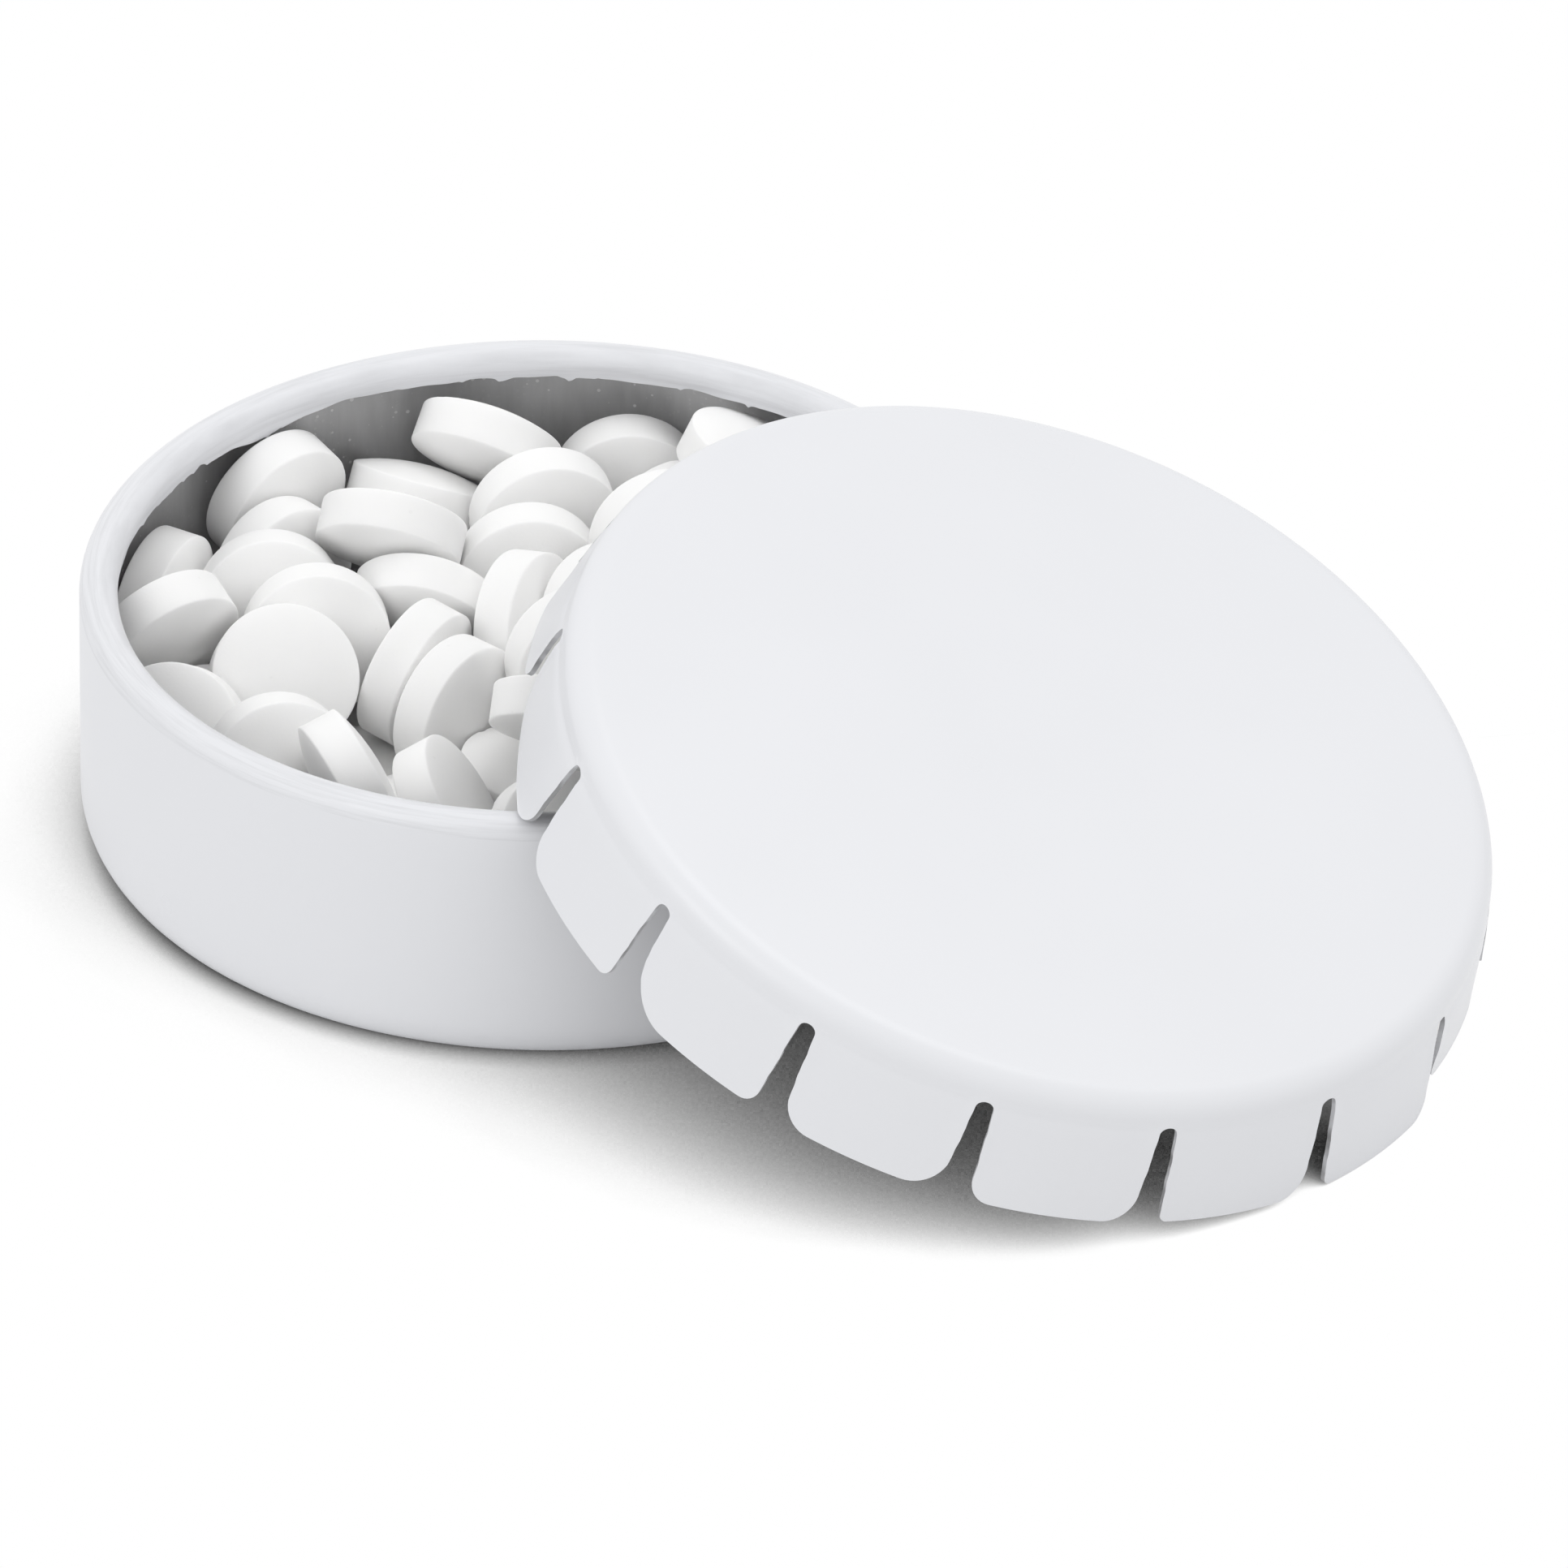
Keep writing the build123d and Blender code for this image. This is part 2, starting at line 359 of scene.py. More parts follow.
def new_mesh_object(name, vertices, faces, smooth=True):
    """A mesh object made of these points and faces, linked to the scene."""
    mesh = bpy.data.meshes.new(name)
    mesh.from_pydata([tuple(v) for v in vertices], [], faces)
    mesh.polygons.foreach_set("use_smooth", [smooth] * len(mesh.polygons))
    mesh.update()
    piece = bpy.data.objects.new(name, mesh)
    bpy.context.scene.collection.objects.link(piece)
    return piece


def ring(reach, turns, height):
    """A row of points round the Z axis at these turns, this far out and this high."""
    heights = np.broadcast_to(np.asarray(height, float), turns.shape)
    return np.stack([reach * np.cos(turns), reach * np.sin(turns), heights], 1)


def grid_faces(rows, columns, closed):
    """Quads between neighbouring rows of points; a closed grid's last column meets its first."""
    steps = columns if closed else columns - 1
    faces = []
    for row in range(rows - 1):
        for column in range(steps):
            beside = (column + 1) % columns
            low, high = row * columns, (row + 1) * columns
            faces.append((low + column, low + beside, high + beside, high + column))
    return faces


def weld(piece, gap):
    """Joins points that lie closer together than this gap."""
    sheet = bmesh.new()
    sheet.from_mesh(piece.data)
    bmesh.ops.remove_doubles(sheet, verts=sheet.verts, dist=gap)
    sheet.to_mesh(piece.data)
    sheet.free()


def thicken(piece, sheet, edge_round):
    """Gives a skin the sheet's thickness inwards and rounds its cut edges.

    The skin has three materials: outer face, inner face and cut edge.
    """
    solid = piece.modifiers.new("sheet", "SOLIDIFY")
    solid.thickness = sheet
    solid.offset = -1
    solid.use_even_offset = True
    solid.material_offset = 1
    solid.material_offset_rim = 2
    edge = piece.modifiers.new("cut_edges", "BEVEL")
    edge.width = edge_round
    edge.segments = BEVEL_STEPS
    edge.limit_method = "ANGLE"
    edge.angle_limit = SHARP_ANGLE
    edge.harden_normals = True


def node_frame(points, triangles):
    """Middle of a closed solid, and the axis along which it is thinnest, turned upwards."""
    a, b, c = (points[triangles[:, k]] for k in range(3))
    areas = np.linalg.norm(np.cross(b - a, c - a), axis=1)[:, None]
    middle = (areas * (a + b + c) / 3).sum(axis=0) / areas.sum()
    spread = np.zeros((3, 3))
    for corner, weight in ((a, 1), (b, 1), (c, 1), (a + b + c, 3)):
        offset = corner - middle * weight
        spread += (areas * offset).T @ offset
    axis = np.linalg.eigh(spread)[1][:, 0]
    return middle, axis * np.sign(axis[2])


def node_points(node):
    """Points and triangles of a node's mesh."""
    mesh = frame["nodes"][node].data
    mesh.calc_loop_triangles()
    points = np.array([v.co for v in mesh.vertices], float)
    triangles = np.array([t.vertices[:] for t in mesh.loop_triangles], int)
    return points, triangles


def solid_islands(node):
    """Points and triangles of each separate solid in a node."""
    shell = bmesh.new()
    shell.from_mesh(frame["nodes"][node].data)
    bmesh.ops.remove_doubles(shell, verts=shell.verts, dist=SAME_POINT)
    bmesh.ops.triangulate(shell, faces=shell.faces)
    shell.verts.index_update()
    seen = set()
    islands = []
    for start in shell.verts:
        if start.index in seen:
            continue
        seen.add(start.index)
        island, waiting = [], [start]
        while waiting:
            vertex = waiting.pop()
            island.append(vertex)
            for edge in vertex.link_edges:
                other = edge.other_vert(vertex)
                if other.index not in seen:
                    seen.add(other.index)
                    waiting.append(other)
        order = {vertex.index: place for place, vertex in enumerate(island)}
        faces = {face for vertex in island for face in vertex.link_faces}
        faces = sorted(faces, key=lambda face: face.index)
        triangles = np.array([[order[v.index] for v in face.verts] for face in faces], int)
        islands.append((np.array([v.co for v in island], float), triangles))
    shell.free()
    return islands


# Node helpers

class Wiring:
    """Adds nodes to one node tree and joins them."""

    def __init__(self, tree):
        self.tree = tree

    def add(self, kind, inputs=None, **settings):
        node = self.tree.nodes.new(kind)
        for name, value in settings.items():
            setattr(node, name, value)
        for socket, value in (inputs or {}).items():
            self.put(value, node.inputs[socket])
        return node

    def put(self, value, socket):
        if isinstance(value, bpy.types.NodeSocket):
            self.tree.links.new(value, socket)
        else:
            socket.default_value = value

    def math(self, operation, *values, clamp=False):
        node = self.add("ShaderNodeMath", operation=operation, use_clamp=clamp)
        for place, value in enumerate(values):
            self.put(value, node.inputs[place])
        return node.outputs[0]

    def mix(self, share, first, second):
        node = self.add("ShaderNodeMix", data_type="RGBA")
        self.put(share, node.inputs["Factor"])
        self.put(first, node.inputs["A"])
        self.put(second, node.inputs["B"])
        return node.outputs["Result"]

    def bump(self, shader, height, distance, strength):
        inputs = {"Height": height, "Distance": distance, "Strength": strength}
        self.put(self.add("ShaderNodeBump", inputs).outputs[0], shader.inputs["Normal"])

    def between(self, value, low, high):
        node = self.add("ShaderNodeMapRange", {"Value": value, "From Min": low, "From Max": high})
        return node.outputs["Result"]


def group_tree(name, inputs, outputs):
    """A shader node group with these sockets, and its wiring and end nodes."""
    tree = bpy.data.node_groups.new(name, "ShaderNodeTree")
    for socket_name, socket_type, default in inputs:
        socket = tree.interface.new_socket(socket_name, in_out="INPUT", socket_type=socket_type)
        if default is not None:
            socket.default_value = default
    for socket_name, socket_type in outputs:
        tree.interface.new_socket(socket_name, in_out="OUTPUT", socket_type=socket_type)
    wiring = Wiring(tree)
    start = wiring.add("NodeGroupInput")
    end = wiring.add("NodeGroupOutput")
    return tree, wiring, start, end


def specks_group():
    """Small round specks scattered over a surface, as a mask."""
    tree, wiring, start, end = group_tree(
        "scattered_specks",
        [
            ("Vector", "NodeSocketVector", None),
            ("Per Metre", "NodeSocketFloat", 2000.0),
            ("Speck Size", "NodeSocketFloat", 0.12),
            ("Share", "NodeSocketFloat", 0.3),
        ],
        [("Mask", "NodeSocketFloat")],
    )
    cells = wiring.add(
        "ShaderNodeTexVoronoi",
        {"Vector": start.outputs["Vector"], "Scale": start.outputs["Per Metre"], "Randomness": 1.0},
    )
    pick = wiring.add("ShaderNodeSeparateColor", {"Color": cells.outputs["Color"]})
    chosen = wiring.math("LESS_THAN", pick.outputs["Red"], start.outputs["Share"])
    size = wiring.math("MULTIPLY", pick.outputs["Green"], start.outputs["Speck Size"])
    inside = wiring.math("LESS_THAN", cells.outputs["Distance"], size)
    wiring.put(wiring.math("MULTIPLY", chosen, inside), end.inputs["Mask"])
    return tree


def streaks_group():
    """Fine lines along one direction, as left by drawing and rolling a sheet."""
    tree, wiring, start, end = group_tree(
        "drawn_streaks",
        [
            ("Vector", "NodeSocketVector", None),
            ("Stretch", "NodeSocketVector", (1.0, 1.0, 0.05)),
            ("Per Metre", "NodeSocketFloat", 2500.0),
        ],
        [("Value", "NodeSocketFloat")],
    )
    stretched = wiring.add("ShaderNodeVectorMath", operation="MULTIPLY")
    wiring.put(start.outputs["Vector"], stretched.inputs[0])
    wiring.put(start.outputs["Stretch"], stretched.inputs[1])
    noise = wiring.add(
        "ShaderNodeTexNoise",
        {
            "Vector": stretched.outputs[0],
            "Scale": start.outputs["Per Metre"],
            "Detail": 4.0,
            "Roughness": 0.6,
        },
    )
    wiring.put(noise.outputs["Fac"], end.inputs["Value"])
    return tree


def unevenness_group():
    """Slow change over a surface with fine grain on it, as a value around a half."""
    tree, wiring, start, end = group_tree(
        "uneven_coat",
        [
            ("Vector", "NodeSocketVector", None),
            ("Slow Per Metre", "NodeSocketFloat", 120.0),
            ("Fine Per Metre", "NodeSocketFloat", 2500.0),
        ],
        [("Slow", "NodeSocketFloat"), ("Fine", "NodeSocketFloat")],
    )
    for scale_name, output_name, detail in (
        ("Slow Per Metre", "Slow", 2.0),
        ("Fine Per Metre", "Fine", 3.0),
    ):
        noise = wiring.add(
            "ShaderNodeTexNoise",
            {
                "Vector": start.outputs["Vector"],
                "Scale": start.outputs[scale_name],
                "Detail": detail,
            },
        )
        wiring.put(noise.outputs["Fac"], end.inputs[output_name])
    return tree


SHARED = {}


def shared_group(maker):
    """The node group that this function makes, built once."""
    if maker.__name__ not in SHARED:
        SHARED[maker.__name__] = maker()
    return SHARED[maker.__name__]


def use_group(wiring, maker, inputs):
    """Places a shared group in a material with these values."""
    node = wiring.add("ShaderNodeGroup", node_tree=shared_group(maker))
    for name, value in inputs.items():
        wiring.put(value, node.inputs[name])
    return node


def new_material(name):
    """A material with its Principled shader, its wiring and its object coordinates."""
    material = bpy.data.materials.new(name)
    material.use_nodes = True
    wiring = Wiring(material.node_tree)
    shader = material.node_tree.nodes["Principled BSDF"]
    place = wiring.add("ShaderNodeTexCoord").outputs["Object"]
    return material, wiring, shader, place


def colour(values, share=1.0):
    """An opaque colour, scaled by a share."""
    return (*[value * share for value in values], 1.0)


# Materials

# Noise values at which a finish would be quite smooth and quite rough. The noise lies near a half.
LACQUER_ROUGHNESS = (-0.6, 2.6)
TINPLATE_ROUGHNESS = (-0.9, 1.9)
# Noise values between which an effect fades in.
RIM_STREAKS = (0.42, 0.68)
TINPLATE_CLOUDS = (0.5, 0.9)
DUST_PATCHES = (0.4, 0.68)
BARE_EDGE = (0.4, 0.62)
PATCHY_DUST = 0.5
DUST_STRENGTH = 0.75
CLEAN_METAL = 0.8
# How strongly the mints' pits are darkened in colour, as painted shade.
PIT_PAINTED_SHADE = 0.25


def lacquer_material(name, rolled):
    """White lacquer, satin, with a faint unevenness. The rolled rim also has streaks along it."""
    tones = bpy.context.scene.finish_colours
    material, wiring, shader, place = new_material(name)
    coat = use_group(wiring, unevenness_group, {"Vector": place, "Slow Per Metre": 90.0})
    base = wiring.mix(
        coat.outputs["Slow"], colour(tones.lacquer, 0.985), colour(tones.lacquer, 1.01)
    )
    specks = use_group(
        wiring,
        specks_group,
        {"Vector": place, "Per Metre": 260.0, "Speck Size": 0.03, "Share": 0.16},
    )
    base = wiring.mix(specks.outputs["Mask"], base, colour(tones.lacquer, 0.55))
    height = coat.outputs["Fine"]
    bump_distance = 0.002 * MM
    if rolled:
        around = wiring.add("ShaderNodeSeparateXYZ", {"Vector": place})
        reach = wiring.math(
            "SQRT",
            wiring.math(
                "ADD",
                wiring.math("MULTIPLY", around.outputs["X"], around.outputs["X"]),
                wiring.math("MULTIPLY", around.outputs["Y"], around.outputs["Y"]),
            ),
        )
        across = wiring.math("SUBTRACT", reach, around.outputs["Z"])
        along = wiring.add(
            "ShaderNodeCombineXYZ",
            {"X": around.outputs["X"], "Y": around.outputs["Y"], "Z": across},
        )
        streaks = use_group(
            wiring,
            streaks_group,
            {"Vector": along.outputs[0], "Stretch": (0.08, 0.08, 1.6), "Per Metre": 2200.0},
        )
        strength = wiring.between(streaks.outputs["Value"], *RIM_STREAKS)
        base = wiring.mix(strength, base, colour(tones.lacquer, 0.9))
        height = streaks.outputs["Value"]
        bump_distance = 0.02 * MM
    wiring.put(base, shader.inputs["Base Color"])
    roughness = wiring.between(coat.outputs["Slow"], *LACQUER_ROUGHNESS)
    wiring.put(roughness, shader.inputs["Roughness"])
    shader.inputs["IOR"].default_value = 1.5
    wiring.bump(shader, height, distance=bump_distance, strength=0.6)
    return material


def tinplate_material():
    """Bare grey metal with drawing streaks up the wall and a dust of mint on it."""
    tones = bpy.context.scene.finish_colours
    material, wiring, shader, place = new_material("bare_tinplate")
    streaks = use_group(
        wiring, streaks_group, {"Vector": place, "Stretch": (1.0, 1.0, 0.16), "Per Metre": 1900.0}
    )
    clouds = use_group(wiring, unevenness_group, {"Vector": place, "Slow Per Metre": 160.0})
    base = wiring.mix(
        streaks.outputs["Value"], colour(tones.tinplate, 0.84), colour(tones.tinplate, 1.16)
    )
    base = wiring.mix(
        wiring.between(clouds.outputs["Slow"], *TINPLATE_CLOUDS),
        base,
        colour(tones.tinplate, 1.5),
    )
    fine_dust = use_group(
        wiring,
        specks_group,
        {"Vector": place, "Per Metre": 5200.0, "Speck Size": 0.5, "Share": 0.4},
    )
    grains = use_group(
        wiring,
        specks_group,
        {"Vector": place, "Per Metre": 2400.0, "Speck Size": 0.27, "Share": 0.4},
    )
    patches = wiring.between(clouds.outputs["Slow"], *DUST_PATCHES)
    patches = wiring.math("MULTIPLY", patches, PATCHY_DUST)
    dust = wiring.math("MULTIPLY", fine_dust.outputs["Mask"], patches)
    dust = wiring.math("MAXIMUM", dust, grains.outputs["Mask"])
    dust = wiring.math("MULTIPLY", dust, DUST_STRENGTH, clamp=True)
    wiring.put(wiring.mix(dust, base, colour(tones.mint, 0.8)), shader.inputs["Base Color"])
    metallic = wiring.math("SUBTRACT", CLEAN_METAL, dust, clamp=True)
    wiring.put(metallic, shader.inputs["Metallic"])
    roughness = wiring.between(streaks.outputs["Value"], *TINPLATE_ROUGHNESS)
    wiring.put(roughness, shader.inputs["Roughness"])
    wiring.bump(shader, streaks.outputs["Value"], distance=0.01 * MM, strength=0.5)
    return material


def cut_edge_material():
    """Sheared edge of the sheet: grey metal with lacquer dragged over it."""
    tones = bpy.context.scene.finish_colours
    material, wiring, shader, place = new_material("sheared_edge")
    drag = use_group(
        wiring,
        unevenness_group,
        {"Vector": place, "Slow Per Metre": 700.0, "Fine Per Metre": 6000.0},
    )
    share = wiring.between(drag.outputs["Slow"], *BARE_EDGE)
    wiring.put(
        wiring.mix(share, colour(tones.lacquer, 0.95), colour(tones.cut_metal)),
        shader.inputs["Base Color"],
    )
    wiring.put(wiring.math("MULTIPLY", share, 0.5), shader.inputs["Metallic"])
    shader.inputs["Roughness"].default_value = 0.45
    wiring.bump(shader, drag.outputs["Fine"], distance=0.01 * MM, strength=0.5)
    return material


def mint_material():
    """Pressed sugar: dry, white, with a fine grain and a few pits of lost crumbs, pressed in and
    darkened with painted shade.
    """
    tones = bpy.context.scene.finish_colours
    material, wiring, shader, place = new_material("pressed_mint")
    grain = use_group(
        wiring,
        unevenness_group,
        {"Vector": place, "Slow Per Metre": 320.0, "Fine Per Metre": 7000.0},
    )
    pits = use_group(
        wiring,
        specks_group,
        {"Vector": place, "Per Metre": 1500.0, "Speck Size": 0.16, "Share": 0.1},
    )
    base = wiring.mix(grain.outputs["Slow"], colour(tones.mint, 0.975), colour(tones.mint, 1.02))
    # The pits are pressed in by the bump below, and their colour is also darkened here: that
    # darkening is painted shade.
    base = wiring.mix(
        wiring.math("MULTIPLY", pits.outputs["Mask"], PIT_PAINTED_SHADE),
        base,
        colour(tones.mint, 0.85),
    )
    wiring.put(base, shader.inputs["Base Color"])
    shader.inputs["Roughness"].default_value = 0.72
    shader.inputs["Specular IOR Level"].default_value = 0.3
    shader.inputs["Subsurface Weight"].default_value = 0.5
    shader.inputs["Subsurface Radius"].default_value = (1.0, 1.0, 0.97)
    shader.inputs["Subsurface Scale"].default_value = 0.8 * MM
    height = wiring.math("SUBTRACT", grain.outputs["Fine"], pits.outputs["Mask"])
    wiring.bump(shader, height, distance=0.012 * MM, strength=0.5)
    return material


MATERIALS = {}


def finish(name):
    """The finish of this name, built once."""
    makers = {
        "white_lacquer": lambda: lacquer_material("white_lacquer", False),
        "rolled_lacquer": lambda: lacquer_material("rolled_lacquer", True),
        "bare_tinplate": tinplate_material,
        "sheared_edge": cut_edge_material,
        "pressed_mint": mint_material,
    }
    if name not in MATERIALS:
        MATERIALS[name] = makers[name]()
    return MATERIALS[name]


# The base

FLOOR_RINGS = (0.02, 0.2, 0.4, 0.6, 0.8, 0.95, 1.0)
WALL_RINGS = (0.1, 0.3, 0.5, 0.7, 0.9, 1.0)
LIP_RINGS = (0.3, 0.6, 0.85, 1.0)
CORNER_STEPS = 12
ROLL_STEPS = 20
# The rolled rim's materials are the second three of the base.
ROLL_MATERIAL = 3

LIP_SEED = 5
LIP_WAVINESS = 0.25
LEAST_LIP = 0.25
LIP_ORDERS = (5, 9, 14, 23, 37, 58)
# The one wide sag of the lip that the picture shows on the far side.
SAG_TURN, SAG_WIDTH = math.radians(167), math.radians(9)
SAG_RIPPLE, RIPPLES_PER_SAG = 0.25, 3.2
TOOTH_SEED = 11
TOOTH_COUNT = 90
TOOTH_WIDTHS = (0.25, 0.9)
TOOTH_HEIGHTS = (0.15, 1.0)
TOOTH_SIGNS = (1, 1, -0.6)


def turn_between(turns, place):
    """How far each turn is from this place, the shorter way round."""
    return (turns - place + math.pi) % (2 * math.pi) - math.pi


def waves(turns, seed, orders, strength):
    """A smooth closed wave around the rim: a sum of sines with fixed random phases."""
    draw = random.Random(seed)
    total = np.zeros_like(turns)
    for order in orders:
        total += np.sin(order * turns + draw.uniform(0, 2 * math.pi)) * draw.uniform(0.5, 1.0)
    return strength * total / math.sqrt(len(orders))


def lip_lengths(turns, sizes):
    """How long the rim's hanging lip is at each turn: waves, one wide sag and ragged teeth."""
    length = sizes.lip + waves(turns, LIP_SEED, LIP_ORDERS, sizes.lip * LIP_WAVINESS)
    away = turn_between(turns, SAG_TURN) / SAG_WIDTH
    ripple = 1 - SAG_RIPPLE + SAG_RIPPLE * np.cos(RIPPLES_PER_SAG * away)
    length += sizes.lip_wave * np.exp(-(away**2)) * ripple
    draw = random.Random(TOOTH_SEED)
    for _ in range(TOOTH_COUNT):
        place = draw.uniform(-math.pi, math.pi)
        width = draw.uniform(*TOOTH_WIDTHS) * sizes.tooth / BASE_RADIUS
        tall = draw.uniform(*TOOTH_HEIGHTS) ** 2 * sizes.tooth * draw.choice(TOOTH_SIGNS)
        length += tall * np.exp(-((turn_between(turns, place) / width) ** 2))
    return np.maximum(length, sizes.sheet * LEAST_LIP)


def base_skin(sizes):
    """Outer face of the base as rows of points, and the row where the roll starts."""
    turns = np.linspace(-math.pi, math.pi, sizes.segments, endpoint=False)
    roll_radius = sizes.roll / 2
    wall_top = BASE_HEIGHT - sizes.rim_gap - roll_radius
    floor_edge = BASE_RADIUS - sizes.corner
    profile = [(floor_edge * share, 0.0) for share in FLOOR_RINGS]
    for step in range(1, CORNER_STEPS + 1):
        angle = math.pi / 2 * (step / CORNER_STEPS - 1)
        reach = floor_edge + sizes.corner * math.cos(angle)
        profile.append((reach, sizes.corner * (1 + math.sin(angle))))
    for share in WALL_RINGS:
        profile.append((BASE_RADIUS, sizes.corner + share * (wall_top - sizes.corner)))
    roll_row = len(profile) - 1
    for step in range(1, ROLL_STEPS + 1):
        angle = sizes.roll_turn * step / ROLL_STEPS
        reach = BASE_RADIUS - roll_radius + roll_radius * math.cos(angle)
        profile.append((reach, wall_top + roll_radius * math.sin(angle)))
    rows = [ring(reach, turns, height) for reach, height in profile]
    end_reach, end_height = profile[-1]
    lengths = lip_lengths(turns, sizes)
    for share in LIP_RINGS:
        reach = end_reach - share * lengths * math.sin(sizes.roll_turn)
        height = end_height + share * lengths * math.cos(sizes.roll_turn)
        rows.append(ring(reach, turns, height))
    return rows, roll_row


class MINTTIN_OT_base(bpy.types.Operator):
    """Builds the drawn base with its rolled, lacquered rim and ragged lip"""

    bl_idname = "minttin.base"
    bl_label = "Build Base"

    def execute(self, context):
        sizes = context.scene.tin_sheet_sizes
        rows, roll_row = base_skin(sizes)
        columns = sizes.segments
        faces = grid_faces(len(rows), columns, True)
        faces.append(tuple(reversed(range(columns))))
        piece = new_mesh_object("base_shell", np.concatenate(rows), faces)
        for outside in ("white_lacquer", "rolled_lacquer"):
            for name in (outside, "bare_tinplate", "sheared_edge"):
                piece.data.materials.append(finish(name))
        for polygon in piece.data.polygons:
            if polygon.index >= roll_row * columns and polygon.index < len(faces) - 1:
                polygon.material_index = ROLL_MATERIAL
        thicken(piece, sizes.sheet, sizes.edge_round)
        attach(piece, "base")
        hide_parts("base")
        return {"FINISHED"}


# The lid

PANEL_RINGS = (0.01, 0.1, 0.2, 0.3, 0.4, 0.5, 0.6, 0.7, 0.8, 0.88, 0.95, 1.0)
SHOULDER_STEPS = 10
TAB_COLUMNS = 25
ROUND_TOP_STEPS = 8
SIDE_STEPS = 12
# Share of the tab corner over which the skirt's rows lie close together.
CLOSE_ROWS = 1.5
TAB_SEED = 3
USUAL_CORNERS = (0.9, 1.45)
BURR_WAVES = (0.33 * MM, 0.13 * MM)
# How far below the shoulder the groove's middle lies, in its own half heights.
GROOVE_DROP = 1.6
BEND_POWER = 1.5
LID_WELD = 0.002 * MM

# Shares of the tab bend at the start and end of the bent tabs, counted from the low side.
BENT_TABS = {0: (0.9, 0.5), 8: (0.25, 0.7), 9: (1.0, 0.2)}

# Shares of the tab corner at the start and end of the tabs that the picture shows from the front.
TAB_CORNERS = {
    10: (1.2, 0.45),
    11: (1.95, 0.6),
    12: (1.15, 1.4),
    13: (0.8, 1.15),
    14: (0.3, 1.15),
    15: (0.3, 0.8),
}


def lid_plane():
    """The lid's middle at the level of its panel's edge, its downhill side, cross side and up."""
    points, triangles = node_points("lid")
    middle, up = node_frame(points, triangles)
    across = np.array([0.0, 1.0, 0.0])
    downhill = np.cross(across, up)
    downhill /= np.linalg.norm(downhill)
    across = np.cross(up, downhill)
    sizes = bpy.context.scene.lid_sizes
    top = ((points - middle) @ up).max()
    return middle + (top - sizes.crown) * up, downhill, across, up


def slot_half_width(depth, sizes, corner):
    """Half the slot's width at this depth below the panel, tab corner included."""
    round_radius = sizes.slot / 2
    drop = depth - sizes.slot_drop
    if drop <= 0:
        return 0.0
    if drop < round_radius:
        return math.sqrt(round_radius**2 - (round_radius - drop) ** 2)
    side_length = sizes.depth - sizes.tab_corner - sizes.slot_drop - round_radius
    widening = (sizes.slot_mouth / 2 - round_radius) / side_length
    half = round_radius + (drop - round_radius) * widening
    into_corner = depth - (sizes.depth - corner)
    if into_corner > 0:
        half += corner - math.sqrt(max(corner**2 - into_corner**2, 0.0))
    return half


def skirt_depths(sizes):
    """Depths of the rows of points down the skirt, close together where the slot is round."""
    round_radius = sizes.slot / 2
    depths = [sizes.corner, (sizes.corner + sizes.slot_drop) / 2, sizes.slot_drop]
    for step in range(1, ROUND_TOP_STEPS + 1):
        angle = math.pi / 2 * step / ROUND_TOP_STEPS
        depths.append(sizes.slot_drop + round_radius * (1 - math.cos(angle)))
    start = depths[-1]
    close_zone = CLOSE_ROWS * sizes.tab_corner
    close_start = sizes.depth - close_zone
    for step in range(1, SIDE_STEPS + 1):
        depths.append(start + (close_start - start) * step / SIDE_STEPS)
    for step in range(1, SIDE_STEPS + 1):
        depths.append(close_start + close_zone * math.sin(math.pi / 2 * step / SIDE_STEPS))
    return depths


def slot_sides(depth, sizes, corners, phases):
    """Half the slot's width at this depth beside a tab's start and end, with its sheared waves."""
    sides = []
    for side, corner in enumerate(corners):
        half = slot_half_width(depth, sizes, corner)
        if half > 0 and depth < sizes.depth - sizes.tab_corner:
            fade = min(1.0, (depth - sizes.slot_drop) / sizes.slot - 0.5)
            wave = math.sin(depth / BURR_WAVES[0] + phases[side])
            wave += math.sin(depth / BURR_WAVES[1] + phases[side + 2]) / 2
            half += max(fade, 0.0) * sizes.burr * wave / 2
        sides.append(half)
    return sides


def skirt_row(tab, depth, shares, sizes, sides):
    """A row of points across one tab at this depth: slot edges raised, groove pressed in, bend."""
    pitch = 2 * math.pi / sizes.tabs
    flare = (sizes.end_radius - sizes.radius) / (sizes.depth - sizes.corner)
    slope = math.hypot(1, flare)
    reach = sizes.radius + (depth - sizes.corner) * flare
    width = pitch * reach - sum(sides)
    along = sides[0] + shares * width
    turns = sizes.slot_turn + tab * pitch + along / reach

    beside_slot = np.minimum(along - sides[0], sides[0] + width - along)
    edge_gap = np.hypot(beside_slot, max(sizes.slot_drop - depth, 0.0))
    above_corner = (sizes.depth - sizes.tab_corner - depth) / sizes.tab_corner
    lift = sizes.lift * np.exp(-((edge_gap / sizes.lift_reach) ** 2))
    lift = lift * min(1.0, max(0.0, above_corner))
    from_groove = (depth - sizes.corner) / sizes.groove_reach - GROOVE_DROP
    dip = sizes.groove * math.exp(-(from_groove**2))
    fall = max(0.0, (depth - sizes.slot_drop) / (sizes.depth - sizes.slot_drop))
    first_share, last_share = BENT_TABS.get(tab, (0.0, 0.0))
    bend = sizes.bend * fall**BEND_POWER * (first_share + shares * (last_share - first_share))

    out = lift / slope - dip - bend
    rise = lift * flare / slope + sizes.bend_rise * bend
    return ring(reach + out, turns, rise - depth)


